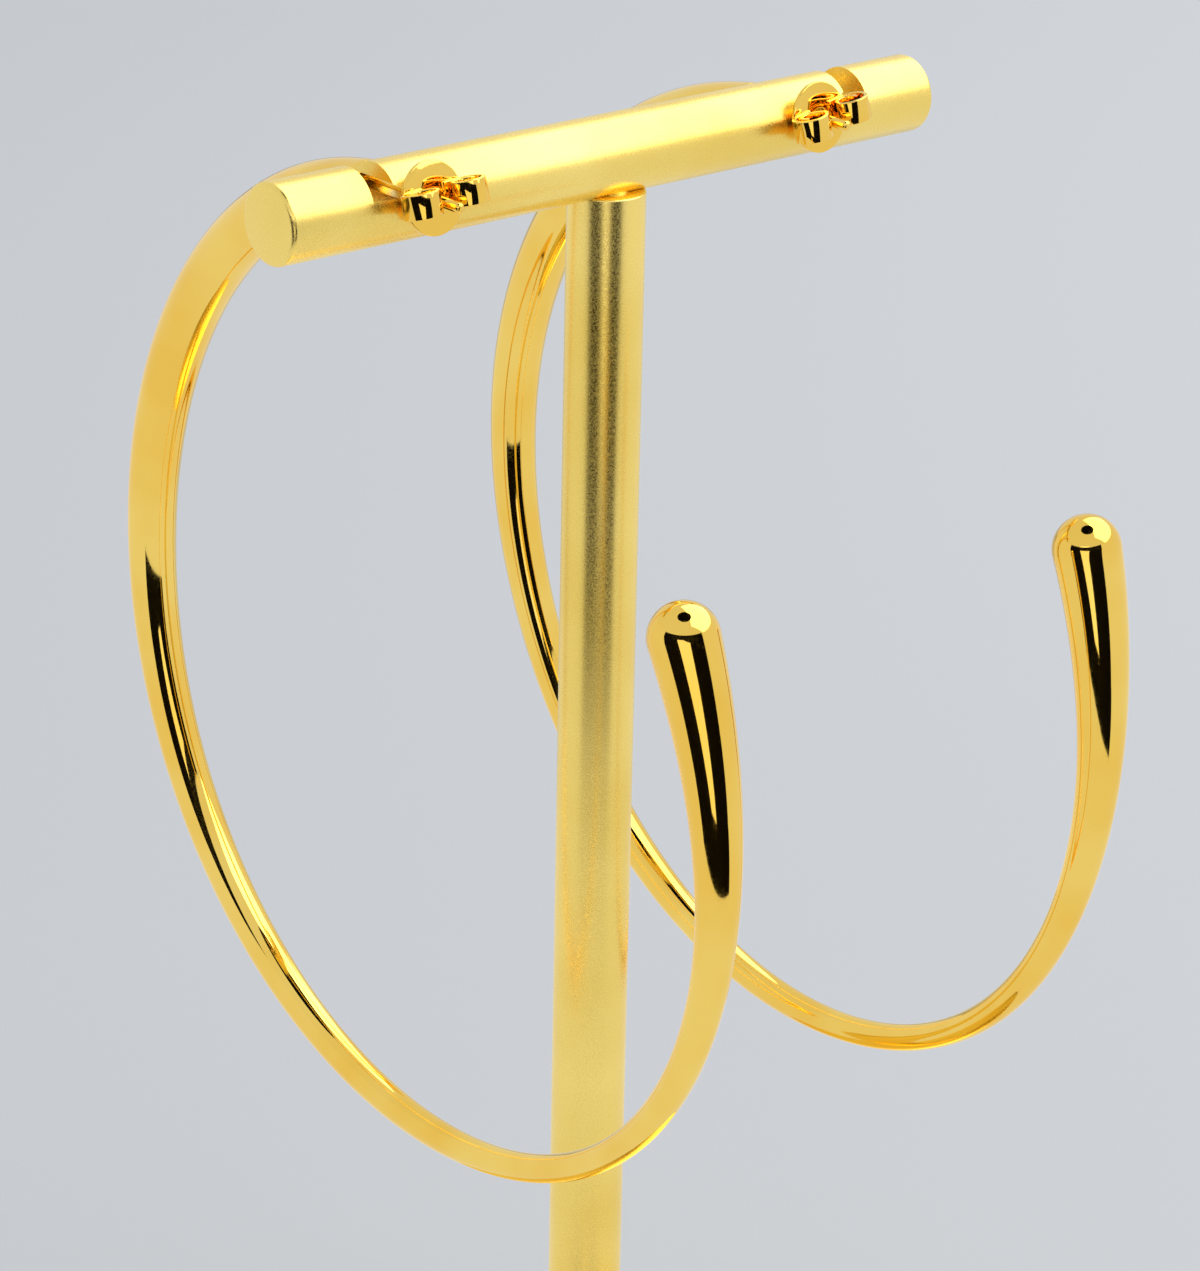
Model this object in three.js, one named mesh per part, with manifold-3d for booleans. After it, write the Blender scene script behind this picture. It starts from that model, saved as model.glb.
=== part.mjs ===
// A pair of tapered hoop earrings hanging on a T-bar display stand.
//
// Frame: millimetres, +Z up. The origin is the middle of the base's underside. The crossbar
// runs along X. The hoops hang in planes across it: their fronts lie towards -Y, and their
// ear posts and butterfly backs point towards +Y.

import * as THREE from 'three';
import { mergeVertices } from 'three/addons/utils/BufferGeometryUtils.js';
import Module from 'manifold-3d';

const wasm = await Module();
wasm.setup();

// ---------------------------------------------------------------- driving dimensions

const GAP = 0.3; // between two separate pieces

const BASE = { diameter: 64, thickness: 6, edgeRadius: 1, socketDepth: 3.5, segments: 72 };
const BAR = { diameter: 6, length: 61.2, centreHeight: 124, edgeRadius: 0.4, segments: 56 };
const UPRIGHT = { diameter: 5.9, edgeRadius: 0.15, tenonDiameter: 3.4, tenonHeight: 1.6, segments: 48 };

// The upright's flat top stands a little way up inside a round recess in the bar's underside.
// Both are measured up from the bar's underside.
const RECESS = { uprightTop: 0.35, depth: 1, clearance: 0.15 };

// Each slot drops in from the top of the bar, then runs inwards and down to the seat where
// the ear post lies. Distances are from the upright's axis and heights from the bar's axis.
const SLOT = {
  outerWall: 23.6,
  innerWall: 21.5,
  floor: 1.0,
  rampRoof: 1.9,
  rampEnd: 20.2,
  seatFloor: 0,
  seatRoof: 1.4,
  seatEnd: 17.3,
};

// The hoops are round rod, thick at the front, thinnest past the bottom, and thick again at
// the domed free end. "at" is the fraction of the rod's length from the ear-post end.
const ROD = {
  sides: 20,
  rows: 70,
  domeRows: 6,
  rimRadius: 0.6,
  thickness: [
    { at: 0.0, diameter: 4.7 },
    { at: 0.2, diameter: 4.2 },
    { at: 0.4, diameter: 3.25 },
    { at: 0.6, diameter: 2.4 },
    { at: 0.72, diameter: 2.15 },
    { at: 0.82, diameter: 2.45 },
    { at: 0.9, diameter: 3.3 },
    { at: 1.0, diameter: 5.15 },
  ],
};

// The rod starts just in front of the crossbar. Y and Z are from the bar's axis.
const ROD_START = { y: -3.5, z: -0.5 };

const POST = { diameter: 0.8, height: 0.7, tip: 6.7, rooting: 1, tipRadius: 0.3, segments: 16 };

// Each hoop was bent by hand, so the two differ a little. A bend's radius is that of the
// rod's centreline, and the heading is the way the rod leaves, up from +Y.
const HOOPS = [
  {
    side: 'right',
    x: 18.9,
    headingDeg: -175.1,
    length: 177.5,
    backTurnDeg: 4,
    backPitchDeg: 13,
    bends: [
      { at: 0.0, radius: 25 },
      { at: 0.2, radius: 39.5 },
      { at: 0.4, radius: 36 },
      { at: 0.6, radius: 36 },
      { at: 0.75, radius: 29.5 },
      { at: 0.88, radius: 35.5 },
      { at: 1.0, radius: 53 },
    ],
  },
  {
    side: 'left',
    x: -18.0,
    headingDeg: -173.9,
    length: 176.5,
    backTurnDeg: 11,
    backPitchDeg: 9,
    bends: [
      { at: 0.0, radius: 31.5 },
      { at: 0.2, radius: 34 },
      { at: 0.4, radius: 42 },
      { at: 0.6, radius: 34.5 },
      { at: 0.75, radius: 28 },
      { at: 0.88, radius: 41 },
      { at: 1.0, radius: 51.5 },
    ],
  },
];

// A butterfly back: an oval pad, pierced for the post, with two wings curled towards it. It
// lies against the round bar just above the middle, so it is pitched up a little.
const BACK = {
  padWidth: 5.2,
  padHeight: 5.4,
  padThickness: 0.35,
  padSegments: 48,
  holeDiameter: 1.4,
  holeSegments: 20,
  wingHeight: 1.8,
  wingThickness: 0.3,
  curlRadius: 1.42,
  curlEndRadius: 0.5,
  curlCentre: 2.07,
  curlStartDeg: -90,
  curlTightensDeg: 170,
  curlEndDeg: 400,
  curlSegments: 34,
  wingRoot: 1.0,
  wingSink: 0.1,
};

// ---------------------------------------------------------------- materials

const polishedGold = new THREE.MeshStandardMaterial({ color: '#e9b44c', roughness: 0.08, metalness: 1 });
const satinGold = new THREE.MeshStandardMaterial({ color: '#d9c27a', roughness: 0.38, metalness: 1 });

// ---------------------------------------------------------------- solids

/** The closed solid of a geometry, with shared vertices merged and empty triangles dropped. */
function solid(geometry) {
  const bare = geometry.clone();
  bare.deleteAttribute('normal');
  bare.deleteAttribute('uv');
  const merged = mergeVertices(bare, 1e-5);
  const corners = merged.index.array;
  const kept = [];
  for (let i = 0; i < corners.length; i += 3) {
    const [a, b, c] = [corners[i], corners[i + 1], corners[i + 2]];
    if (a !== b && b !== c && c !== a) kept.push(a, b, c);
  }
  return new wasm.Manifold(
    new wasm.Mesh({
      numProp: 3,
      vertProperties: Float32Array.from(merged.attributes.position.array),
      triVerts: Uint32Array.from(kept),
    }),
  );
}

/** A named mesh of a solid. */
function piece(name, body, material) {
  const { vertProperties, triVerts, numProp } = body.getMesh();
  const positions = new Float32Array((vertProperties.length / numProp) * 3);
  for (let i = 0; i < positions.length / 3; i += 1) {
    for (let k = 0; k < 3; k += 1) positions[3 * i + k] = vertProperties[numProp * i + k];
  }
  const geometry = new THREE.BufferGeometry();
  geometry.setAttribute('position', new THREE.BufferAttribute(positions, 3));
  geometry.setIndex(new THREE.BufferAttribute(Uint32Array.from(triVerts), 1));
  geometry.computeVertexNormals();
  const mesh = new THREE.Mesh(geometry, material);
  mesh.name = name;
  return mesh;
}

/** Points of a quarter-round corner on a turned profile, from one angle to the other. */
function corner(x, y, radius, fromDeg, toDeg, steps = 3) {
  const points = [];
  for (let i = 0; i <= steps; i += 1) {
    const angle = THREE.MathUtils.degToRad(fromDeg + ((toDeg - fromDeg) * i) / steps);
    points.push(new THREE.Vector2(x + radius * Math.cos(angle), y + radius * Math.sin(angle)));
  }
  return points;
}

/** A turned solid about Y, from its profile of (radius, height) points. */
function turned(profile, segments) {
  return new THREE.LatheGeometry(profile, segments);
}

/** A turned bar about Y, from one height to the other, with a small round on each end's edge. */
function roundedBar(diameter, bottom, top, edgeRadius, segments) {
  const inner = diameter / 2 - edgeRadius;
  return turned(
    [
      new THREE.Vector2(0, bottom),
      ...corner(inner, bottom + edgeRadius, edgeRadius, -90, 0),
      ...corner(inner, top - edgeRadius, edgeRadius, 0, 90),
      new THREE.Vector2(0, top),
    ],
    segments,
  );
}

/** A value read off a table of "at" rows, smoothly between them. */
function tableValue(rows, key, at) {
  const last = rows.length - 1;
  const slope = (i) => {
    const [before, after] = [rows[Math.max(i - 1, 0)], rows[Math.min(i + 1, last)]];
    return (after[key] - before[key]) / (after.at - before.at);
  };
  let i = 0;
  while (i < last - 1 && at >= rows[i + 1].at) i += 1;
  const span = rows[i + 1].at - rows[i].at;
  const t = (at - rows[i].at) / span;
  const [t2, t3] = [t * t, t * t * t];
  return (
    (2 * t3 - 3 * t2 + 1) * rows[i][key] +
    (t3 - 2 * t2 + t) * span * slope(i) +
    (3 * t2 - 2 * t3) * rows[i + 1][key] +
    (t3 - t2) * span * slope(i + 1)
  );
}

// ---------------------------------------------------------------- stand

/** The round foot, with a blind socket for the upright in the middle of its top. */
function baseSolid() {
  const { diameter, thickness, edgeRadius, socketDepth, segments } = BASE;
  const outer = roundedBar(diameter, 0, thickness, edgeRadius, segments).rotateX(Math.PI / 2);
  const socket = new THREE.CylinderGeometry(
    UPRIGHT.diameter / 2 + GAP,
    UPRIGHT.diameter / 2 + GAP,
    2 * socketDepth,
    UPRIGHT.segments,
  );
  socket.rotateX(Math.PI / 2).translate(0, 0, thickness);
  return solid(outer).subtract(solid(socket));
}

/** How high the upright's flat top stands, from the bar's axis. */
const uprightTop = RECESS.uprightTop - BAR.diameter / 2;

/** The upright, from its socket in the base to the recess in the bar, with its tenon. */
function uprightSolid() {
  const bottom = BASE.thickness - BASE.socketDepth + GAP;
  const top = BAR.centreHeight + uprightTop;
  const radius = UPRIGHT.tenonDiameter / 2;
  const shaft = roundedBar(UPRIGHT.diameter, bottom, top, UPRIGHT.edgeRadius, UPRIGHT.segments);
  const tenon = new THREE.CylinderGeometry(radius, radius, 2 * UPRIGHT.tenonHeight, UPRIGHT.segments);
  tenon.translate(0, top, 0);
  return solid(shaft.rotateX(Math.PI / 2)).add(solid(tenon.rotateX(Math.PI / 2)));
}

/** The tool that cuts one arm's slot right through the bar, along Y. */
function slotCutter() {
  const above = BAR.diameter / 2 + 1;
  const outline = new THREE.Shape([
    new THREE.Vector2(SLOT.outerWall, above),
    new THREE.Vector2(SLOT.innerWall, above),
    new THREE.Vector2(SLOT.innerWall, SLOT.rampRoof),
    new THREE.Vector2(SLOT.rampEnd, SLOT.seatRoof),
    new THREE.Vector2(SLOT.seatEnd, SLOT.seatRoof),
    new THREE.Vector2(SLOT.seatEnd, SLOT.seatFloor),
    new THREE.Vector2(SLOT.rampEnd, SLOT.seatFloor),
    new THREE.Vector2(SLOT.innerWall, SLOT.floor),
    new THREE.Vector2(SLOT.outerWall, SLOT.floor),
  ]);
  const depth = BAR.diameter + 2;
  const cutter = new THREE.ExtrudeGeometry(outline, { depth, bevelEnabled: false });
  return cutter.translate(0, 0, -depth / 2).rotateX(Math.PI / 2);
}

/** A blind hole bored up into the bar, as the tool that cuts it, about the bar's axis. */
function bore(radius, top) {
  const tool = new THREE.CylinderGeometry(radius, radius, BAR.diameter, UPRIGHT.segments);
  return solid(tool.rotateX(Math.PI / 2).translate(0, 0, top - BAR.diameter / 2));
}

/** The crossbar about its own axis, with a slot in each arm and the bores for the upright. */
function crossbarSolid() {
  const half = BAR.length / 2;
  const bar = roundedBar(BAR.diameter, -half, half, BAR.edgeRadius, BAR.segments).rotateZ(Math.PI / 2);
  const recess = bore(UPRIGHT.diameter / 2 + RECESS.clearance, RECESS.depth - BAR.diameter / 2);
  const hole = bore(UPRIGHT.tenonDiameter / 2 + GAP, uprightTop + UPRIGHT.tenonHeight + GAP);
  const slot = solid(slotCutter());
  const slotted = solid(bar).subtract(slot).subtract(slot.rotate([0, 0, 180]));
  return slotted.subtract(recess).subtract(hole);
}

// ---------------------------------------------------------------- hoops

/** The rod's centreline in the hoop's plane: where it is and which way it heads. */
class Centreline {
  static STEP = 0.25;

  constructor(hoop) {
    let [y, z] = [ROD_START.y, ROD_START.z];
    let heading = THREE.MathUtils.degToRad(hoop.headingDeg);
    const reach = hoop.length + ROD.thickness.at(-1).diameter;
    this.stations = [];
    for (let along = 0; along <= reach; along += Centreline.STEP) {
      this.stations.push({ y, z, heading });
      const at = Math.min((along + Centreline.STEP / 2) / hoop.length, 1);
      const turn = Centreline.STEP / tableValue(hoop.bends, 'radius', at);
      y += Centreline.STEP * Math.cos(heading + turn / 2);
      z += Centreline.STEP * Math.sin(heading + turn / 2);
      heading += turn;
    }
  }

  station(along) {
    const place = along / Centreline.STEP;
    const index = Math.min(Math.floor(place), this.stations.length - 2);
    const [a, b] = [this.stations[index], this.stations[index + 1]];
    const between = (key) => THREE.MathUtils.lerp(a[key], b[key], place - index);
    return { y: between('y'), z: between('z'), heading: between('heading') };
  }
}

/** The rod while it is still straight: (radius, distance along) from the post end to the dome. */
function rodProfile(length) {
  const startRadius = ROD.thickness[0].diameter / 2;
  const endRadius = ROD.thickness.at(-1).diameter / 2;
  const profile = [new THREE.Vector2(0, 0)];
  profile.push(...corner(startRadius - ROD.rimRadius, ROD.rimRadius, ROD.rimRadius, -90, 0));
  const step = (length - ROD.rimRadius) / ROD.rows;
  for (let i = 1; i < ROD.rows; i += 1) {
    const along = ROD.rimRadius + i * step;
    profile.push(new THREE.Vector2(tableValue(ROD.thickness, 'diameter', along / length) / 2, along));
  }
  profile.push(...corner(0, length, endRadius, 0, 90, ROD.domeRows).slice(0, -1));
  profile.push(new THREE.Vector2(0, length + endRadius));
  return profile;
}

/** Bends the straight rod along the hoop's centreline. */
function bentRod(hoop) {
  const rod = turned(rodProfile(hoop.length), ROD.sides);
  const centreline = new Centreline(hoop);
  const position = rod.attributes.position;
  for (let i = 0; i < position.count; i += 1) {
    const [out, along, across] = [position.getX(i), position.getY(i), position.getZ(i)];
    const { y, z, heading } = centreline.station(along);
    position.setXYZ(i, -across, y - out * Math.sin(heading), z + out * Math.cos(heading));
  }
  return rod;
}

/** The ear post, soldered to the rod's flat end and running back through the bar. */
function earPost() {
  const start = ROD_START.y - POST.rooting;
  const post = roundedBar(POST.diameter, start, POST.tip, POST.tipRadius, POST.segments);
  return post.translate(0, 0, POST.height);
}

/** A whole hoop, about the point where the bar's axis crosses its plane. */
function hoopSolid(hoop) {
  return solid(bentRod(hoop)).add(solid(earPost()));
}

// ---------------------------------------------------------------- butterfly backs

/** The curl's centreline radius at an angle: round at first, then tightening inwards. */
function curlRadius(angleDeg) {
  const outer = BACK.curlRadius - BACK.wingThickness / 2;
  const share = (angleDeg - BACK.curlTightensDeg) / (BACK.curlEndDeg - BACK.curlTightensDeg);
  return share <= 0 ? outer : THREE.MathUtils.lerp(outer, BACK.curlEndRadius, Math.sqrt(share));
}

/** One wing seen from above, in (X, Y): a strip that leaves the pad and curls inwards. */
function wingOutline() {
  const centreY = BACK.padThickness + BACK.curlRadius - BACK.wingSink;
  const side = (offset) => {
    const points = [];
    for (let i = 0; i <= BACK.curlSegments; i += 1) {
      const angleDeg = THREE.MathUtils.lerp(BACK.curlStartDeg, BACK.curlEndDeg, i / BACK.curlSegments);
      const angle = THREE.MathUtils.degToRad(angleDeg);
      const radius = curlRadius(angleDeg) + offset;
      points.push(
        new THREE.Vector2(
          BACK.curlCentre + radius * Math.cos(angle),
          centreY + radius * Math.sin(angle),
        ),
      );
    }
    return points;
  };
  const [outer, inner] = [side(BACK.wingThickness / 2), side(-BACK.wingThickness / 2)];
  const root = [inner[0], outer[0]].map((point) => new THREE.Vector2(BACK.wingRoot, point.y));
  return new THREE.Shape([root[1], ...outer, ...inner.reverse(), root[0]]);
}

/** A butterfly back: its pad faces the bar at Y 0, and the post runs along Y through it. */
function butterflySolid() {
  const wing = new THREE.ExtrudeGeometry(wingOutline(), { depth: BACK.wingHeight, bevelEnabled: false });
  wing.translate(0, 0, -BACK.wingHeight / 2);
  const pad = new THREE.CylinderGeometry(0.5, 0.5, BACK.padThickness, BACK.padSegments);
  pad.scale(BACK.padWidth, 1, BACK.padHeight).translate(0, BACK.padThickness / 2, 0);
  const radius = BACK.holeDiameter / 2;
  const hole = new THREE.CylinderGeometry(radius, radius, 4 * BACK.padThickness, BACK.holeSegments);
  const oneWing = solid(wing);
  return solid(pad).add(oneWing).add(oneWing.mirror([1, 0, 0])).subtract(solid(hole));
}

// ---------------------------------------------------------------- assembly

function stand() {
  const group = new THREE.Group();
  const crossbar = piece('stand_crossbar', crossbarSolid(), satinGold);
  crossbar.position.z = BAR.centreHeight;
  group.add(piece('stand_base', baseSolid(), satinGold));
  group.add(piece('stand_upright', uprightSolid(), satinGold));
  group.add(crossbar);
  return group;
}

function earring(hoop) {
  const group = new THREE.Group();
  group.position.set(hoop.x, 0, BAR.centreHeight);
  const back = piece(`butterfly_${hoop.side}`, butterflySolid(), polishedGold);
  const pitch = THREE.MathUtils.degToRad(hoop.backPitchDeg);
  const reach = (BAR.diameter / 2 + GAP - POST.height * Math.sin(pitch)) / Math.cos(pitch);
  back.position.set(0, reach, POST.height);
  back.rotation.set(pitch, THREE.MathUtils.degToRad(hoop.backTurnDeg), 0);
  group.add(piece(`hoop_${hoop.side}`, hoopSolid(hoop), polishedGold));
  group.add(back);
  return group;
}

const model = new THREE.Group();
model.add(stand());
HOOPS.forEach((hoop) => model.add(earring(hoop)));

export default model;
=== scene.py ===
"""A pair of tapered hoop earrings hanging on a T-bar display stand.

Each sub-assembly is a class that holds its sizes in millimetres and builds its own pieces in
the frame's metres: the stand, the two hoops with their ear posts, and the butterfly backs.
"""

from __future__ import annotations

import logging
import math
from dataclasses import dataclass
from enum import Enum
from typing import Any, Sequence

import bmesh
import bpy
from mathutils import Matrix, Vector


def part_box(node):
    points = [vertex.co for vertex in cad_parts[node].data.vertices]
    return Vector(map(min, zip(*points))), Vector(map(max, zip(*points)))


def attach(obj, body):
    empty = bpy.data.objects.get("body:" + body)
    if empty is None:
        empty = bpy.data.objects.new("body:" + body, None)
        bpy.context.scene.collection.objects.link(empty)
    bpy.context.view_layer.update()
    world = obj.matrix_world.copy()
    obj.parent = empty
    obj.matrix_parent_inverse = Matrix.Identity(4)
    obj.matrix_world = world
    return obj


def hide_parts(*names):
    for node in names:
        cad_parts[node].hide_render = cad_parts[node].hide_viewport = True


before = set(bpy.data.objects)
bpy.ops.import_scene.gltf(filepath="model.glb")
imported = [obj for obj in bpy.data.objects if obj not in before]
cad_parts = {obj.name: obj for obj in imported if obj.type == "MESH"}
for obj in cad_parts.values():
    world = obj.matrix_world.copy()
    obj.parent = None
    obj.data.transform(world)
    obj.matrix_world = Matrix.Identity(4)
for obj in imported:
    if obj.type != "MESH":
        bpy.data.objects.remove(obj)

LOG = logging.getLogger("hoop_earrings")
MM = 0.001
WELD_MM = 1e-4
SMOOTH_BELOW_DEGREES = 35.0
EDGE_SEGMENTS = 3
STAND_BODY = "stand_and_hoops"
UP = Vector((0, 0, 1))

# ---------------------------------------------------------------------------- small tools


def linear(code: str) -> tuple[float, float, float, float]:
    """Turns an sRGB hex code into a linear colour.

    Args:
        code: the colour as "#rrggbb".

    Returns:
        Linear red, green and blue, and an alpha of 1.
    """
    parts = [int(code[i : i + 2], 16) / 255 for i in (1, 3, 5)]
    red, green, blue = (c / 12.92 if c <= 0.04045 else ((c + 0.055) / 1.055) ** 2.4 for c in parts)
    return red, green, blue, 1.0


def add_node(
    tree: bpy.types.NodeTree,
    kind: str,
    values: dict[str | int, Any] | None = None,
    links: dict[str | int, bpy.types.NodeSocket] | None = None,
    **settings: Any,
) -> bpy.types.Node:
    """Adds one shader node with its settings, socket values and incoming links.

    Args:
        tree: the node tree that gets the node.
        kind: the node's type.
        values: what its input sockets are set to, by name or number.
        links: the output sockets that feed its inputs, by name or number.
        settings: the node's own properties.

    Returns:
        The new node.
    """
    node = tree.nodes.new(kind)
    for name, value in settings.items():
        setattr(node, name, value)
    for socket, value in (values or {}).items():
        node.inputs[socket].default_value = value
    for socket, source in (links or {}).items():
        tree.links.new(source, node.inputs[socket])
    return node


def table_value(rows: Sequence[tuple[float, float]], at: float) -> float:
    """Reads a value off a short table, smoothly between its rows.

    Args:
        rows: (at, value) pairs in rising order of at.
        at: where to read.

    Returns:
        The value there.
    """
    last = len(rows) - 1

    def slope(row: int) -> float:
        """The slope through a row, from its neighbours."""
        before, after = rows[max(row - 1, 0)], rows[min(row + 1, last)]
        return (after[1] - before[1]) / (after[0] - before[0])

    index = 0
    while index < last - 1 and at >= rows[index + 1][0]:
        index += 1
    (at_0, value_0), (at_1, value_1) = rows[index], rows[index + 1]
    span = at_1 - at_0
    t = (at - at_0) / span
    return (
        (2 * t**3 - 3 * t**2 + 1) * value_0
        + (t**3 - 2 * t**2 + t) * span * slope(index)
        + (3 * t**2 - 2 * t**3) * value_1
        + (t**3 - t**2) * span * slope(index + 1)
    )


def middle(node: str) -> Vector:
    """The middle of a frame node's box, in millimetres."""
    low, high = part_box(node)
    return (low + high) / 2 / MM


def as_object(name: str, shape: bmesh.types.BMesh) -> bpy.types.Object:
    """Turns a bmesh into an object in the scene, and frees the bmesh.

    Args:
        name: the object's name.
        shape: its mesh.

    Returns:
        The object, standing at the origin.
    """
    mesh = bpy.data.meshes.new(name)
    shape.to_mesh(mesh)
    shape.free()
    made = bpy.data.objects.new(name, mesh)
    bpy.context.scene.collection.objects.link(made)
    return made


def finish_piece(
    name: str,
    shape: bmesh.types.BMesh,
    material: bpy.types.Material,
) -> bpy.types.Object:
    """Turns a bmesh in millimetres into a finished object in the frame's metres.

    Args:
        name: the piece's name.
        shape: its closed mesh, which is freed.
        material: its finish.

    Returns:
        The object, standing at the origin.
    """
    bmesh.ops.remove_doubles(shape, verts=shape.verts, dist=WELD_MM)
    bmesh.ops.recalc_face_normals(shape, faces=shape.faces)
    bmesh.ops.scale(shape, verts=shape.verts, vec=(MM, MM, MM))
    piece = as_object(name, shape)
    piece.data.materials.append(material)
    piece.data.shade_smooth()
    piece.data.set_sharp_from_angle(angle=math.radians(SMOOTH_BELOW_DEGREES))
    return piece


def settle(
    piece: bpy.types.Object, body: str, replaced: Sequence[str] = ()
) -> bpy.types.Object:
    """Declares a piece to the frame and reports it.

    Args:
        piece: the finished piece.
        body: the body that it rides on.
        replaced: the frame's nodes that it stands for.

    Returns:
        The same piece.
    """
    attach(piece, body)
    if replaced:
        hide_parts(*replaced)
    LOG.info("%s: %d faces, on %s", piece.name, len(piece.data.polygons), body)
    return piece


def corner(
    radius: float, height: float, round_radius: float, start: float, end: float, steps: int = 6
) -> list[tuple[float, float]]:
    """The points of a round corner on a turned profile.

    Args:
        radius: how far the corner's centre is from the axis.
        height: the height of the corner's centre.
        round_radius: the corner's own radius.
        start: the angle that it starts at, in degrees.
        end: the angle that it ends at, in degrees.
        steps: how many steps it takes.

    Returns:
        (radius, height) points.
    """
    angles = [math.radians(start + (end - start) * i / steps) for i in range(steps + 1)]
    return [(radius + round_radius * math.cos(a), height + round_radius * math.sin(a)) for a in angles]


def bar_profile(
    diameter: float, bottom: float, top: float, edge_radius: float
) -> list[tuple[float, float]]:
    """The half-profile of a round bar whose end edges are rounded over.

    Args:
        diameter: the bar's diameter.
        bottom: the height of its lower end.
        top: the height of its upper end.
        edge_radius: the radius of the rounding.

    Returns:
        (radius, height) points from the axis to the axis.
    """
    inner = diameter / 2 - edge_radius
    return [
        (0.0, bottom),
        *corner(inner, bottom + edge_radius, edge_radius, -90, 0),
        *corner(inner, top - edge_radius, edge_radius, 0, 90),
        (0.0, top),
    ]


def turned(
    profile: Sequence[tuple[float, float]], steps: int, along: Vector = UP
) -> bmesh.types.BMesh:
    """Spins a half-profile into a turned solid and lays it along an axis.

    Args:
        profile: (radius, height) points, from the axis round to the axis.
        steps: how many steps make the full turn.
        along: the way that the profile's height runs.

    Returns:
        The closed solid.
    """
    shape = bmesh.new()
    verts = [shape.verts.new((radius, 0, height)) for radius, height in profile]
    edges = [shape.edges.new(pair) for pair in zip(verts, verts[1:])]
    bmesh.ops.spin(
        shape,
        geom=verts + edges,
        cent=(0, 0, 0),
        axis=UP,
        angle=math.tau,
        steps=steps,
        use_merge=True,
    )
    bmesh.ops.remove_doubles(shape, verts=shape.verts, dist=WELD_MM)
    turn = UP.rotation_difference(along).to_matrix()
    bmesh.ops.rotate(shape, verts=shape.verts, cent=(0, 0, 0), matrix=turn)
    return shape


def swept(section: bmesh.types.BMesh, places: Sequence[Matrix]) -> bmesh.types.BMesh:
    """Sweeps a flat section through a row of places, and closes both ends.

    Args:
        section: a bmesh of one face in the XY plane, which becomes the sweep.
        places: where the section stands at each row, scaled as it should be there.

    Returns:
        The closed solid.
    """
    bmesh.ops.transform(section, matrix=places[0], verts=section.verts)
    rim = list(section.edges)
    for before, after in zip(places, places[1:]):
        made = bmesh.ops.extrude_edge_only(section, edges=rim)["geom"]
        verts = {v for v in made if isinstance(v, bmesh.types.BMVert)}
        rim = [e for e in made if isinstance(e, bmesh.types.BMEdge) and set(e.verts) <= verts]
        bmesh.ops.transform(section, matrix=after @ before.inverted(), verts=list(verts))
    bmesh.ops.contextual_create(section, geom=rim)
    return section


# ---------------------------------------------------------------------------- finishes


def new_material(name: str) -> tuple[bpy.types.Material, bpy.types.NodeTree]:
    """Makes an empty material.

    Args:
        name: the finish's name.

    Returns:
        The material and its node tree.
    """
    material = bpy.data.materials.new(name)
    material.use_nodes = True
    material.node_tree.nodes.clear()
    return material, material.node_tree


@dataclass(frozen=True)
class Lumps:
    """A pattern of soft lumps, in the piece's own coordinates, which drifts across a piece."""

    size: float
    detail: float
    low: float = 0.35
    high: float = 0.65

    def value(self, tree: bpy.types.NodeTree) -> bpy.types.NodeSocket:
        """Adds the bare pattern, which mostly keeps between its low and its high.

        Args:
            tree: the node tree that gets it.

        Returns:
            The pattern's value.
        """
        place = add_node(tree, "ShaderNodeTexCoord").outputs["Object"]
        noise = add_node(
            tree,
            "ShaderNodeTexNoise",
            values={"Scale": 1 / (self.size * MM), "Detail": self.detail},
            links={"Vector": place},
        )
        return noise.outputs["Fac"]

    def blend(self, tree: bpy.types.NodeTree, deep: str, bright: str) -> bpy.types.NodeSocket:
        """Adds the pattern as a drift from one colour to another.

        Args:
            tree: the node tree that gets it.
            deep: the colour where the pattern is low.
            bright: the colour where it is high.

        Returns:
            The colour.
        """
        ramp = add_node(tree, "ShaderNodeValToRGB", links={"Fac": self.value(tree)})
        stops = zip(ramp.color_ramp.elements, (self.low, self.high), (deep, bright))
        for stop, position, code in stops:
            stop.position = position
            stop.color = linear(code)
        return ramp.outputs["Color"]

    def spread(self, tree: bpy.types.NodeTree, least: float, most: float) -> bpy.types.NodeSocket:
        """Adds the pattern, spread over a range of values.

        Args:
            tree: the node tree that gets it.
            least: the value where the pattern is low.
            most: the value where it is high.

        Returns:
            The value.
        """
        ranged = add_node(
            tree,
            "ShaderNodeMapRange",
            values={"From Min": self.low, "From Max": self.high, "To Min": least, "To Max": most},
            links={"Value": self.value(tree)},
        )
        return ranged.outputs["Result"]


def metal_surface(
    tree: bpy.types.NodeTree,
    colour: bpy.types.NodeSocket,
    roughness: bpy.types.NodeSocket,
    relief: bpy.types.NodeSocket,
    height: float,
) -> None:
    """Ends a metal's node tree with its relief, its shader and its output.

    Args:
        tree: the node tree.
        colour: the metal's colour.
        roughness: how much it blurs what it mirrors.
        relief: the pattern that its surface rises and falls with.
        height: how high the relief is, in millimetres.
    """
    bump = add_node(
        tree,
        "ShaderNodeBump",
        values={"Strength": 1.0, "Distance": height * MM},
        links={"Height": relief},
    )
    shader = add_node(
        tree,
        "ShaderNodeBsdfPrincipled",
        values={"Metallic": 1.0},
        links={"Base Color": colour, "Roughness": roughness, "Normal": bump.outputs["Normal"]},
    )
    add_node(tree, "ShaderNodeOutputMaterial", links={"Surface": shader.outputs["BSDF"]})


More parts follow.
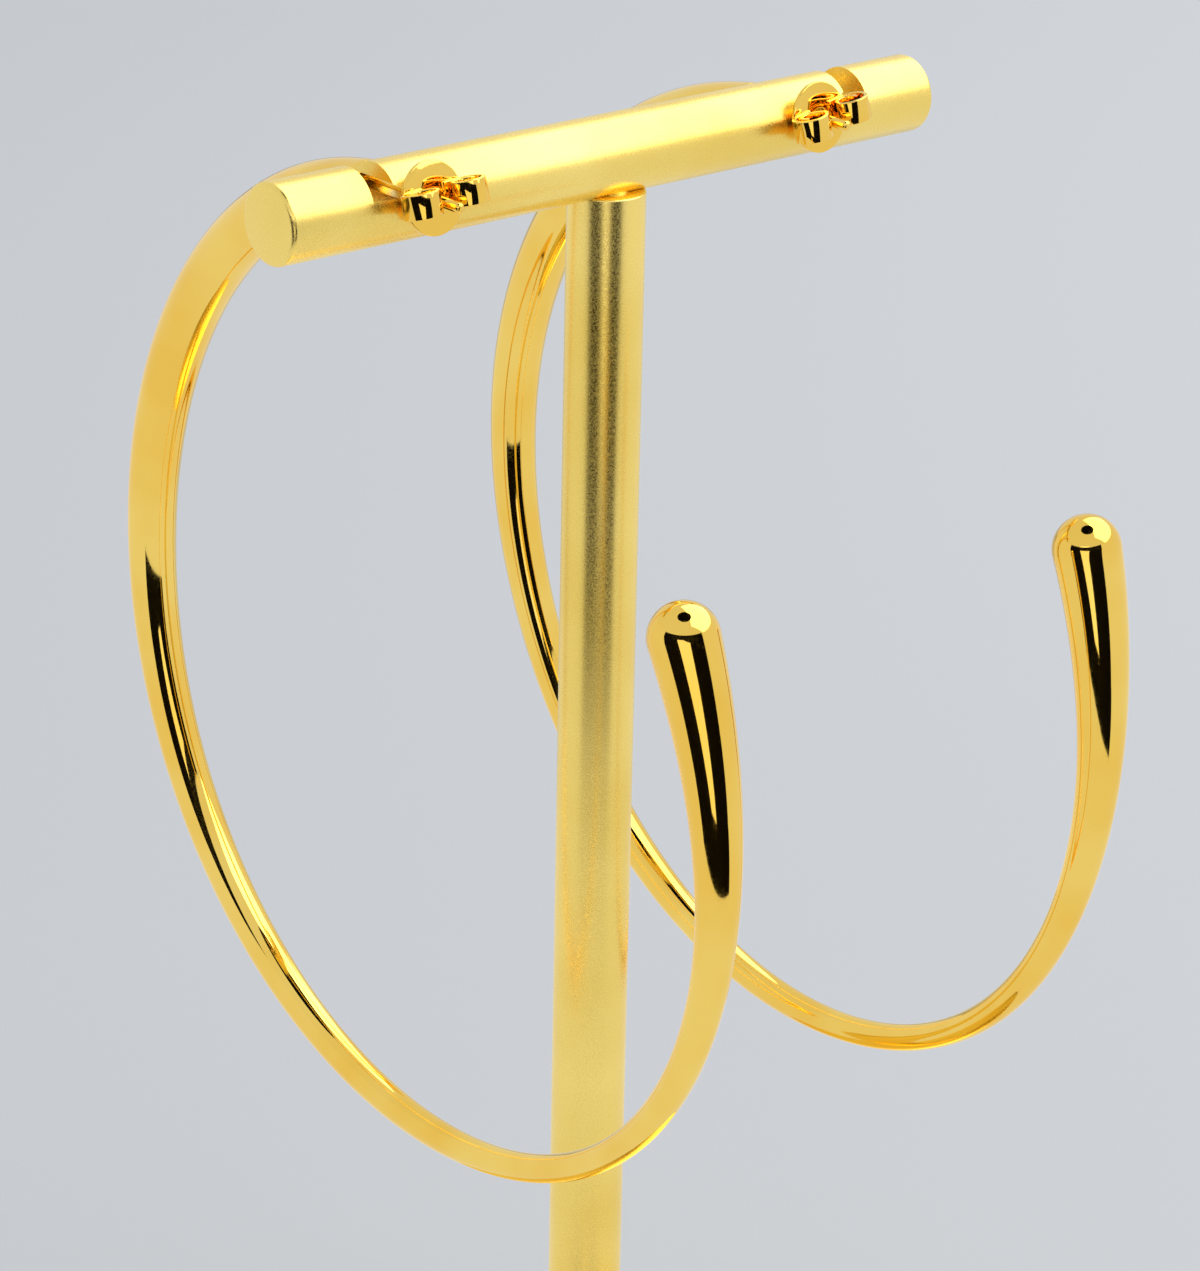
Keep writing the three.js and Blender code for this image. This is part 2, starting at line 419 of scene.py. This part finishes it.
@dataclass(frozen=True)
class PolishedGold:
    """High-polish yellow gold plate: a mirror with the faint waviness of hand buffing."""

    slot: str = "polished_gold"
    deep: str = "#fccf5a"
    bright: str = "#ffdc70"
    tone: Lumps = Lumps(size=9.0, detail=2.0)
    roughness: tuple[float, float] = (0.03, 0.08)
    buffing: Lumps = Lumps(size=0.25, detail=3.0, low=0.3, high=0.7)
    waves: Lumps = Lumps(size=3.0, detail=1.0)
    wave_height: float = 0.008

    def material(self) -> bpy.types.Material:
        """Makes the material: gold that drifts in tone, with a buffed, barely rippled surface.

        Returns:
            The finished material.
        """
        material, tree = new_material("polished_yellow_gold")
        metal_surface(
            tree,
            colour=self.tone.blend(tree, self.deep, self.bright),
            roughness=self.buffing.spread(tree, *self.roughness),
            relief=self.waves.value(tree),
            height=self.wave_height,
        )
        return material


@dataclass(frozen=True)
class SatinGold:
    """Satin gold-coloured metal: fine blasted grain that blurs what it reflects."""

    slot: str = "satin_gold"
    deep: str = "#f6d76e"
    bright: str = "#ffe482"
    tone: Lumps = Lumps(size=14.0, detail=3.0)
    roughness: tuple[float, float] = (0.24, 0.36)
    grain: Lumps = Lumps(size=0.14, detail=2.0)
    grain_height: float = 0.0025

    def material(self) -> bpy.types.Material:
        """Makes the material: an even satin with a grain of fine pits.

        Returns:
            The finished material.
        """
        material, tree = new_material("satin_blasted_gold")
        metal_surface(
            tree,
            colour=self.tone.blend(tree, self.deep, self.bright),
            roughness=self.grain.spread(tree, *self.roughness),
            relief=self.grain.value(tree),
            height=self.grain_height,
        )
        return material


@dataclass(frozen=True)
class MattePaint:
    """Matte emulsion on a board: one plain colour, with hardly any shine."""

    name: str
    colour: str
    roughness: float = 0.8
    shine: float = 0.02

    def material(self) -> bpy.types.Material:
        """Makes the material.

        Returns:
            The finished material.
        """
        material, tree = new_material(self.name)
        shader = add_node(
            tree,
            "ShaderNodeBsdfPrincipled",
            values={
                "Base Color": linear(self.colour),
                "Roughness": self.roughness,
                "Specular IOR Level": self.shine,
            },
        )
        add_node(tree, "ShaderNodeOutputMaterial", links={"Surface": shader.outputs["BSDF"]})
        return material


@dataclass(frozen=True)
class LitCloth:
    """Diffuser cloth lit from behind: an even glow that polished metal mirrors as a pale band."""

    name: str
    colour: str
    strength: float

    def material(self) -> bpy.types.Material:
        """Makes the material.

        Returns:
            The finished material.
        """
        material, tree = new_material(self.name)
        glow = add_node(
            tree,
            "ShaderNodeEmission",
            values={"Color": linear(self.colour), "Strength": self.strength},
        )
        add_node(tree, "ShaderNodeOutputMaterial", links={"Surface": glow.outputs["Emission"]})
        return material


# ---------------------------------------------------------------------------- stand


@dataclass
class Stand:
    """The T-bar stand: a round base, an upright and a slotted crossbar."""

    finish: SatinGold
    base_diameter: float = 64.0
    base_edge: float = 1.0
    socket_depth: float = 3.5
    gap: float = 0.3
    upright_diameter: float = 5.9
    upright_edge: float = 0.15
    tenon_diameter: float = 3.4
    tenon_height: float = 1.6
    recess_clearance: float = 0.15
    recess_depth: float = 1.0
    bar_diameter: float = 6.0
    bar_edge: float = 0.4
    slot_outer: float = 23.6
    slot_inner: float = 21.5
    slot_floor: float = 1.0
    ramp_roof: float = 1.9
    ramp_end: float = 20.2
    seat_floor: float = 0.0
    seat_roof: float = 1.4
    seat_end: float = 17.3
    slot_edge: float = 0.12
    slot_edge_angle: float = 40.0
    turn_steps: int = 128

    def build(self) -> list[bpy.types.Object]:
        """Builds and dresses the base, the upright and the crossbar.

        Returns:
            The three pieces.
        """
        material = self.finish.material()
        made = {
            "stand_base": self.base(),
            "stand_upright": self.upright(),
            "stand_crossbar": self.crossbar(),
        }
        return [
            settle(finish_piece(f"{node}_satin", shape, material), STAND_BODY, [node])
            for node, shape in made.items()
        ]

    def base(self) -> bmesh.types.BMesh:
        """The round foot, with a blind socket in the middle of its top."""
        low, high = (corner_point.z / MM for corner_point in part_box("stand_base"))
        socket = self.upright_diameter / 2 + self.gap
        outline = bar_profile(self.base_diameter, low, high, self.base_edge)[:-1]
        outline += [(socket, high), (socket, high - self.socket_depth), (0.0, high - self.socket_depth)]
        return turned(outline, self.turn_steps)

    def upright(self) -> bmesh.types.BMesh:
        """The round upright, flat on top, with its tenon."""
        low, high = (corner_point.z / MM for corner_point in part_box("stand_upright"))
        flat = high - self.tenon_height
        tenon = self.tenon_diameter / 2
        outline = bar_profile(self.upright_diameter, low, flat, self.upright_edge)[:-1]
        outline += [(tenon, flat), (tenon, high), (0.0, high)]
        return turned(outline, self.turn_steps)

    def slot_cutter(self, side: int) -> bmesh.types.BMesh:
        """The shape that one arm's slot takes out of the bar.

        Args:
            side: 1 for the arm towards +X, -1 for the other.

        Returns:
            A closed prism right through the bar.
        """
        above = self.bar_diameter
        outline = [
            (self.slot_outer, above),
            (self.slot_inner, above),
            (self.slot_inner, self.ramp_roof),
            (self.ramp_end, self.seat_roof),
            (self.seat_end, self.seat_roof),
            (self.seat_end, self.seat_floor),
            (self.ramp_end, self.seat_floor),
            (self.slot_inner, self.slot_floor),
            (self.slot_outer, self.slot_floor),
        ]
        shape = bmesh.new()
        face = shape.faces.new([shape.verts.new((side * x, -self.bar_diameter, z)) for x, z in outline])
        made = bmesh.ops.extrude_face_region(shape, geom=[face])["geom"]
        verts = [v for v in made if isinstance(v, bmesh.types.BMVert)]
        bmesh.ops.translate(shape, verts=verts, vec=(0, 2 * self.bar_diameter, 0))
        bmesh.ops.recalc_face_normals(shape, faces=shape.faces)
        return shape

    def crossbar(self) -> bmesh.types.BMesh:
        """The round bar with a slot cut in each arm and a stepped bore for the upright."""
        low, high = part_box("stand_crossbar")
        centre = middle("stand_crossbar")
        outline = bar_profile(self.bar_diameter, low.x / MM, high.x / MM, self.bar_edge)
        bar = as_object("bar_blank", turned(outline, self.turn_steps, Vector((1, 0, 0))))
        recess = self.upright_diameter / 2 + self.recess_clearance
        recess_top = self.recess_depth - self.bar_diameter / 2
        hole = self.tenon_diameter / 2 + self.gap
        hole_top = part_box("stand_upright")[1].z / MM + self.gap - centre.z
        bore = [
            (0, -self.bar_diameter),
            (recess, -self.bar_diameter),
            (recess, recess_top),
            (hole, recess_top),
            (hole, hole_top),
            (0, hole_top),
        ]
        cutters = [
            as_object("slot_tool_right", self.slot_cutter(1)),
            as_object("slot_tool_left", self.slot_cutter(-1)),
            as_object("bore_tool", turned(bore, self.turn_steps)),
        ]
        for cutter in cutters:
            cut = bar.modifiers.new(cutter.name, "BOOLEAN")
            cut.operation = "DIFFERENCE"
            cut.solver = "EXACT"
            cut.object = cutter
        soften = bar.modifiers.new("eased_slot_edges", "BEVEL")
        soften.width = self.slot_edge
        soften.segments = EDGE_SEGMENTS
        soften.limit_method = "ANGLE"
        soften.angle_limit = math.radians(self.slot_edge_angle)
        shape = bmesh.new()
        shape.from_object(bar, bpy.context.evaluated_depsgraph_get())
        for spent in [bar, *cutters]:
            bpy.data.objects.remove(spent)
        bmesh.ops.translate(shape, verts=shape.verts, vec=(0, 0, centre.z))
        return shape


# ---------------------------------------------------------------------------- earrings


class Side(Enum):
    """Which arm an earring hangs on, seen from the fronts of the hoops."""

    RIGHT = "right"
    LEFT = "left"


@dataclass(frozen=True)
class Bending:
    """How one hoop was bent by hand: its start, its length and the radius of each bend."""

    heading: float
    length: float
    radii: tuple[tuple[float, float], ...]


BENDINGS = {
    Side.RIGHT: Bending(
        heading=-175.1,
        length=177.5,
        radii=((0.0, 25), (0.2, 39.5), (0.4, 36), (0.6, 36), (0.75, 29.5), (0.88, 35.5), (1.0, 53)),
    ),
    Side.LEFT: Bending(
        heading=-173.9,
        length=176.5,
        radii=((0.0, 31.5), (0.2, 34), (0.4, 42), (0.6, 34.5), (0.75, 28), (0.88, 41), (1.0, 51.5)),
    ),
}


@dataclass
class Hoop:
    """One open hoop of tapered round rod, with its ear post."""

    finish: PolishedGold
    side: Side
    start_y: float = -3.5
    start_z: float = -0.5
    diameters: tuple[tuple[float, float], ...] = (
        (0.0, 4.7),
        (0.2, 4.2),
        (0.4, 3.25),
        (0.6, 2.4),
        (0.72, 2.15),
        (0.82, 2.45),
        (0.9, 3.3),
        (1.0, 5.15),
    )
    rim_radius: float = 0.6
    row_spacing: float = 0.45
    dome_end: float = 89.0
    dome_steps: int = 16
    sides: int = 72
    post_diameter: float = 0.8
    post_height: float = 0.7
    post_tip: float = 6.7
    post_root: float = 1.0
    post_tip_radius: float = 0.3

    def build(self, material: bpy.types.Material) -> list[bpy.types.Object]:
        """Builds and dresses the bent rod and its ear post.

        Args:
            material: the hoop's finish.

        Returns:
            The rod and the post.
        """
        node = f"hoop_{self.side.value}"
        rod = finish_piece(f"{node}_rod", self.rod(node), material)
        post = finish_piece(f"{node}_ear_post", self.post(node), material)
        settle(rod, STAND_BODY, [node])
        settle(post, STAND_BODY)
        return [rod, post]

    def rows(self) -> list[tuple[float, float]]:
        """The straight rod's (distance along, radius) rows, from the flat end to the dome."""
        length = BENDINGS[self.side].length
        start_radius, end_radius = self.diameters[0][1] / 2, self.diameters[-1][1] / 2
        rim = corner(start_radius - self.rim_radius, self.rim_radius, self.rim_radius, -90, 0)
        count = round((length - self.rim_radius) / self.row_spacing)
        steps = [self.rim_radius + (length - self.rim_radius) * i / count for i in range(1, count)]
        body = [(table_value(self.diameters, s / length) / 2, s) for s in steps]
        dome = corner(0, length, end_radius, 0, self.dome_end, self.dome_steps)
        return [(along, radius) for radius, along in [*rim, *body, *dome]]

    def place(self, node: str, along: Sequence[float]) -> list[Matrix]:
        """Where the rod's section stands at each distance along the bent centreline.

        Args:
            node: the hoop's frame node, which gives the plane that it hangs in.
            along: distances from the flat end, in rising order.

        Returns:
            One matrix for each distance.
        """
        bending = BENDINGS[self.side]
        axis = middle("stand_crossbar")
        x = middle(node).x
        y, z = axis.y + self.start_y, axis.z + self.start_z
        heading = math.radians(bending.heading)
        here = 0.0
        places = []
        for distance in along:
            step = distance - here
            turn = step / table_value(bending.radii, min((here + step / 2) / bending.length, 1.0))
            y += step * math.cos(heading + turn / 2)
            z += step * math.sin(heading + turn / 2)
            heading += turn
            here = distance
            out = Vector((0, -math.sin(heading), math.cos(heading)))
            forward = Vector((0, math.cos(heading), math.sin(heading)))
            across = forward.cross(out)
            stand = Matrix((out, across, forward)).transposed().to_4x4()
            places.append(Matrix.Translation((x, y, z)) @ stand)
        return places

    def rod(self, node: str) -> bmesh.types.BMesh:
        """The bent, tapered rod, swept along its centreline."""
        rows = self.rows()
        places = self.place(node, [along for along, _ in rows])
        scaled = [
            place @ Matrix.Diagonal((radius, radius, 1, 1))
            for place, (_, radius) in zip(places, rows)
        ]
        section = bmesh.new()
        bmesh.ops.create_circle(section, cap_ends=True, segments=self.sides, radius=1.0)
        return swept(section, scaled)

    def post(self, node: str) -> bmesh.types.BMesh:
        """The straight ear post, from inside the rod's flat end back through the bar."""
        axis = middle("stand_crossbar")
        outline = bar_profile(
            self.post_diameter, self.start_y - self.post_root, self.post_tip, self.post_tip_radius
        )
        shape = turned(outline, self.sides // 2, Vector((0, 1, 0)))
        place = (middle(node).x, axis.y, axis.z + self.post_height)
        bmesh.ops.translate(shape, verts=shape.verts, vec=place)
        return shape


@dataclass
class ButterflyBack:
    """One butterfly back: an oval pad with two wings curled round beside the post."""

    finish: PolishedGold
    side: Side
    turn: float
    pitch: float
    pad_width: float = 5.2
    pad_height: float = 5.4
    bar_gap: float = 0.3
    pad_thickness: float = 0.35
    pad_edge: float = 0.07
    pad_edge_angle: float = 60.0
    hole_diameter: float = 1.4
    wing_height: float = 1.8
    wing_thickness: float = 0.3
    wing_edge: float = 0.07
    curl_radius: float = 1.42
    curl_end_radius: float = 0.5
    curl_centre: float = 2.07
    curl_start: float = -90.0
    curl_tightens: float = 170.0
    curl_end: float = 400.0
    curl_steps: int = 96
    wing_root: float = 1.0
    wing_sink: float = 0.1
    post_height: float = 0.7
    pad_steps: int = 96

    def build(self, material: bpy.types.Material) -> list[bpy.types.Object]:
        """Builds and dresses the pad and its two wings.

        Args:
            material: the back's finish.

        Returns:
            The pad, then the wings.
        """
        node = f"butterfly_{self.side.value}"
        body = f"back_{self.side.value}"
        shapes = {"pad": self.pad(), "wing_outer": self.wing(1), "wing_inner": self.wing(-1)}
        made = []
        for part, shape in shapes.items():
            self.put_on_post(shape)
            piece = finish_piece(f"{node}_{part}", shape, material)
            made.append(settle(piece, body, [node] if part == "pad" else ()))
        return made

    def put_on_post(self, shape: bmesh.types.BMesh) -> None:
        """Turns a shape about the post, pitches it against the round bar and moves it there.

        Args:
            shape: a shape whose pad faces the bar at Y 0, with the post along Y.
        """
        low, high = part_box("stand_crossbar")
        axis, bar_radius = (low + high) / 2 / MM, (high.z - low.z) / 2 / MM
        pitch = math.radians(self.pitch)
        reach = (bar_radius + self.bar_gap - self.post_height * math.sin(pitch)) / math.cos(pitch)
        stand = Matrix.Rotation(pitch, 3, "X") @ Matrix.Rotation(math.radians(self.turn), 3, "Y")
        bmesh.ops.rotate(shape, verts=shape.verts, cent=(0, 0, 0), matrix=stand)
        place = (middle(f"hoop_{self.side.value}").x, axis.y + reach, axis.z + self.post_height)
        bmesh.ops.translate(shape, verts=shape.verts, vec=place)

    def pad(self) -> bmesh.types.BMesh:
        """The oval pad with its pierced hole and softened edges."""
        shape = bmesh.new()
        bmesh.ops.create_circle(shape, segments=self.pad_steps, radius=self.hole_diameter / 2)
        hole = list(shape.edges)
        made = bmesh.ops.extrude_edge_only(shape, edges=hole)["geom"]
        rim = [v for v in made if isinstance(v, bmesh.types.BMVert)]
        grow = (self.pad_width / self.hole_diameter, self.pad_height / self.hole_diameter, 1)
        bmesh.ops.scale(shape, verts=rim, vec=grow)
        made = bmesh.ops.extrude_face_region(shape, geom=list(shape.faces))["geom"]
        lifted = [v for v in made if isinstance(v, bmesh.types.BMVert)]
        bmesh.ops.translate(shape, verts=lifted, vec=(0, 0, self.pad_thickness))
        bmesh.ops.recalc_face_normals(shape, faces=shape.faces)
        limit = math.radians(self.pad_edge_angle)
        sharp = [e for e in shape.edges if e.calc_face_angle(0) > limit]
        bmesh.ops.bevel(
            shape,
            geom=sharp,
            offset=self.pad_edge,
            segments=EDGE_SEGMENTS,
            profile=0.5,
            material=-1,
            affect="EDGES",
        )
        lay = UP.rotation_difference(Vector((0, 1, 0))).to_matrix()
        bmesh.ops.rotate(shape, verts=shape.verts, cent=(0, 0, 0), matrix=lay)
        return shape

    def curl(self) -> list[tuple[Vector, float]]:
        """The wing's centreline in (X, Y) and its heading, from its root to its curled end."""
        outer = self.curl_radius - self.wing_thickness / 2
        centre_y = self.pad_thickness + self.curl_radius - self.wing_sink
        points = [(Vector((self.wing_root, centre_y - outer, 0)), 0.0)]
        for i in range(self.curl_steps + 1):
            degrees = self.curl_start + (self.curl_end - self.curl_start) * i / self.curl_steps
            share = (degrees - self.curl_tightens) / (self.curl_end - self.curl_tightens)
            radius = outer + (self.curl_end_radius - outer) * math.sqrt(max(share, 0.0))
            angle = math.radians(degrees)
            x = self.curl_centre + radius * math.cos(angle)
            y = centre_y + radius * math.sin(angle)
            points.append((Vector((x, y, 0)), angle + math.pi / 2))
        return points

    def wing(self, hand: int) -> bmesh.types.BMesh:
        """One curled wing.

        Args:
            hand: 1 for the wing towards +X before the back is turned, -1 for its mirror image.

        Returns:
            The closed strip.
        """
        section = bmesh.new()
        bmesh.ops.create_circle(section, cap_ends=True, segments=4, radius=math.sqrt(0.5))
        quarter = Matrix.Rotation(math.pi / 4, 3, "Z")
        bmesh.ops.rotate(section, verts=section.verts, cent=(0, 0, 0), matrix=quarter)
        bmesh.ops.scale(section, verts=section.verts, vec=(self.wing_thickness, self.wing_height, 1))
        bmesh.ops.bevel(
            section,
            geom=list(section.verts),
            offset=self.wing_edge,
            segments=EDGE_SEGMENTS,
            profile=0.5,
            material=-1,
            affect="VERTICES",
        )
        places = []
        for spot, heading in self.curl():
            forward = Vector((math.cos(heading), math.sin(heading), 0))
            out = forward.cross(UP)
            stand = Matrix((out, UP, out.cross(UP))).transposed().to_4x4()
            places.append(Matrix.Translation(spot) @ stand)
        shape = swept(section, places)
        if hand < 0:
            bmesh.ops.scale(shape, verts=shape.verts, vec=(-1, 1, 1))
        return shape


# ---------------------------------------------------------------------------- studio


@dataclass(frozen=True)
class Softbox:
    """A soft oblong light that faces the stand. Its swing is its azimuth from the camera's."""

    name: str
    swing: float
    rise: float
    distance: float
    width: float
    height: float
    brightness: float
    colour: str = "#ffffff"


@dataclass(frozen=True)
class Card:
    """A curved card or cloth round the stand, between two swings and two heights in metres.

    Its foot is turned round from its top by the lean, in degrees.
    """

    name: str
    swing_from: float
    swing_to: float
    foot: float
    top: float
    lean: float = 0.0
    radius: float = 0.155


@dataclass
class Studio:
    """A pale floor, soft light, cards and cloths for the gold to mirror, and the camera."""

    floor_size: float = 6.0
    floor_colour: str = "#b1b4b7"
    ambient_colour: str = "#f6f7fa"
    ambient_strength: float = 0.85
    card_colour: str = "#0b0907"
    camera_azimuth: float = 139.41
    camera_elevation: float = 22.37
    camera_roll: float = 1.19
    camera_distance: float = 0.30645
    camera_aim_x: float = -0.27
    camera_drop: float = -38.26
    lens: float = 112.57
    nearest: float = 0.01
    farthest: float = 100.0
    cards: tuple[Card, ...] = (
        Card("wide_dark_card", swing_from=-53, swing_to=-15, foot=0.045, top=0.132, lean=13),
        Card("narrow_dark_card", swing_from=15, swing_to=50, foot=0.045, top=0.132, lean=-9),
        Card("bridging_dark_card", swing_from=-53, swing_to=50, foot=0.132, top=0.165),
        Card("low_dark_card", swing_from=-42, swing_to=43, foot=0.024, top=0.057),
    )
    canopy_radius: float = 0.16
    canopy_offset: float = 0.07
    canopy_height: float = 0.6
    cloth: Card = Card(
        "surrounding_cloth", swing_from=-150, swing_to=150, foot=0.0, top=0.165, radius=0.16
    )
    cloth_finish: LitCloth = LitCloth("lit_diffuser_cloth", colour="#f7f7fa", strength=0.88)
    cloth_lift: float = 0.0005
    slim_cloth: Card = Card(
        "slim_cloth", swing_from=-16, swing_to=17, foot=0.055, top=0.135, radius=0.157
    )
    slim_finish: LitCloth = LitCloth("bright_diffuser_cloth", colour="#fffaf2", strength=1.15)
    card_steps: int = 24
    disc_sides: int = 64
    lights: tuple[Softbox, ...] = (
        Softbox(
            "overhead_softbox",
            swing=112,
            rise=50,
            distance=0.9,
            width=1.6,
            height=1.1,
            brightness=1.9,
        ),
        Softbox(
            "strip_light",
            swing=0,
            rise=24,
            distance=0.9,
            width=1.3,
            height=0.1,
            brightness=1.6,
        ),
    )

    @staticmethod
    def away(azimuth: float, elevation: float) -> Vector:
        """The direction from the object out to an azimuth and an elevation, in degrees."""
        a, e = math.radians(azimuth), math.radians(elevation)
        return Vector((math.sin(a) * math.cos(e), -math.cos(a) * math.cos(e), math.sin(e)))

    def aim(self) -> Vector:
        """The point that the camera looks at, in metres."""
        axis = middle("stand_crossbar")
        return Vector((self.camera_aim_x, axis.y, axis.z + self.camera_drop)) * MM

    def build(self) -> None:
        """Builds the floor, what the gold mirrors, the lights, the surroundings and the camera."""
        bpy.context.scene.view_settings.view_transform = "Standard"
        self.floor()
        self.hang_dark_cards()
        self.hang_cloths()
        self.surroundings()
        for light in self.lights:
            self.softbox(light)
        self.camera()

    def hang_dark_cards(self) -> None:
        """Hangs the dark cards on the camera's side, and a dark disc overhead."""
        black = MattePaint("matte_black_card", self.card_colour).material()
        for card in self.cards:
            self.hang(card, black)
        overhead = self.away(self.camera_azimuth, 0) * self.canopy_offset + UP * self.canopy_height
        self.disc("dark_canopy", self.canopy_radius, overhead, black)

    def hang_cloths(self) -> None:
        """Hangs the lit cloths behind the dark cards, and lays one on the table."""
        glow = self.cloth_finish.material()
        self.hang(self.cloth, glow)
        self.disc("table_cloth", self.cloth.radius, UP * self.cloth_lift, glow)
        self.hang(self.slim_cloth, self.slim_finish.material())

    def floor(self) -> None:
        """The plain pale floor that the base stands on."""
        shape = bmesh.new()
        bmesh.ops.create_grid(shape, x_segments=1, y_segments=1, size=self.floor_size / 2)
        floor = as_object("studio_floor", shape)
        floor.data.materials.append(MattePaint("pale_floor_paint", self.floor_colour).material())

    def hang(self, card: Card, material: bpy.types.Material) -> None:
        """Hangs a curved card or cloth round the stand.

        Args:
            card: its place and size.
            material: its finish.
        """
        shape = bmesh.new()
        side = self.camera_azimuth + card.swing_from
        foot = shape.verts.new(self.away(side + card.lean, 0) * card.radius + UP * card.foot)
        top = shape.verts.new(self.away(side, 0) * card.radius + UP * card.top)
        edge = shape.edges.new((foot, top))
        bmesh.ops.spin(
            shape,
            geom=[foot, top, edge],
            cent=(0, 0, 0),
            axis=UP,
            angle=math.radians(card.swing_to - card.swing_from),
            steps=self.card_steps,
        )
        self.flag(as_object(card.name, shape), material)

    def disc(self, name: str, radius: float, place: Vector, material: bpy.types.Material) -> None:
        """Lays out a level round card.

        Args:
            name: its name.
            radius: its radius.
            place: its middle.
            material: its finish.
        """
        shape = bmesh.new()
        bmesh.ops.create_circle(shape, cap_ends=True, segments=self.disc_sides, radius=radius)
        bmesh.ops.translate(shape, verts=shape.verts, vec=place)
        self.flag(as_object(name, shape), material)

    def flag(self, card: bpy.types.Object, material: bpy.types.Material) -> None:
        """Dresses a card and hides it from everything but reflections.

        Args:
            card: the card.
            material: its finish.
        """
        card.data.materials.append(material)
        card.visible_camera = False
        card.visible_shadow = False
        card.visible_diffuse = False

    def surroundings(self) -> None:
        """The even light that fills the studio."""
        world = bpy.data.worlds.new("studio_surroundings")
        world.use_nodes = True
        bpy.context.scene.world = world
        fill = world.node_tree.nodes["Background"]
        fill.inputs["Color"].default_value = linear(self.ambient_colour)
        fill.inputs["Strength"].default_value = self.ambient_strength

    def softbox(self, light: Softbox) -> None:
        """Hangs one softbox.

        Args:
            light: its place, size and power.
        """
        data = bpy.data.lights.new(light.name, "AREA")
        data.shape = "RECTANGLE"
        data.size = light.width
        data.size_y = light.height
        data.energy = light.brightness * math.pi * light.width * light.height
        data.color = linear(light.colour)[:3]
        lamp = bpy.data.objects.new(light.name, data)
        bpy.context.scene.collection.objects.link(lamp)
        outwards = self.away(self.camera_azimuth + light.swing, light.rise)
        lamp.location = self.aim() + outwards * light.distance
        lamp.rotation_mode = "QUATERNION"
        lamp.rotation_quaternion = outwards.to_track_quat("Z", "Y")
        lamp.visible_camera = False

    def camera(self) -> None:
        """Sets up the camera behind the earrings, a little above the crossbar."""
        data = bpy.data.cameras.new("studio_camera")
        data.lens = self.lens
        data.clip_start = self.nearest
        data.clip_end = self.farthest
        camera = bpy.data.objects.new("studio_camera", data)
        bpy.context.scene.collection.objects.link(camera)
        outwards = self.away(self.camera_azimuth, self.camera_elevation)
        level = outwards.to_track_quat("Z", "Y").to_matrix().to_4x4()
        roll = Matrix.Rotation(math.radians(self.camera_roll), 4, "Z")
        place = Matrix.Translation(self.aim() + outwards * self.camera_distance)
        camera.matrix_world = place @ level @ roll
        bpy.context.scene.camera = camera


# ---------------------------------------------------------------------------- assembly


def main() -> None:
    """Builds the stand, the earrings and the studio, in that order."""
    logging.basicConfig(level=logging.INFO, format="%(name)s: %(message)s")
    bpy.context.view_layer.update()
    Stand(SatinGold()).build()
    gold = PolishedGold()
    gold_material = gold.material()
    for side in Side:
        Hoop(gold, side).build(gold_material)
    ButterflyBack(gold, Side.RIGHT, turn=4.0, pitch=13.0).build(gold_material)
    ButterflyBack(gold, Side.LEFT, turn=11.0, pitch=9.0).build(gold_material)
    Studio().build()


if __name__ == "__main__":
    main()
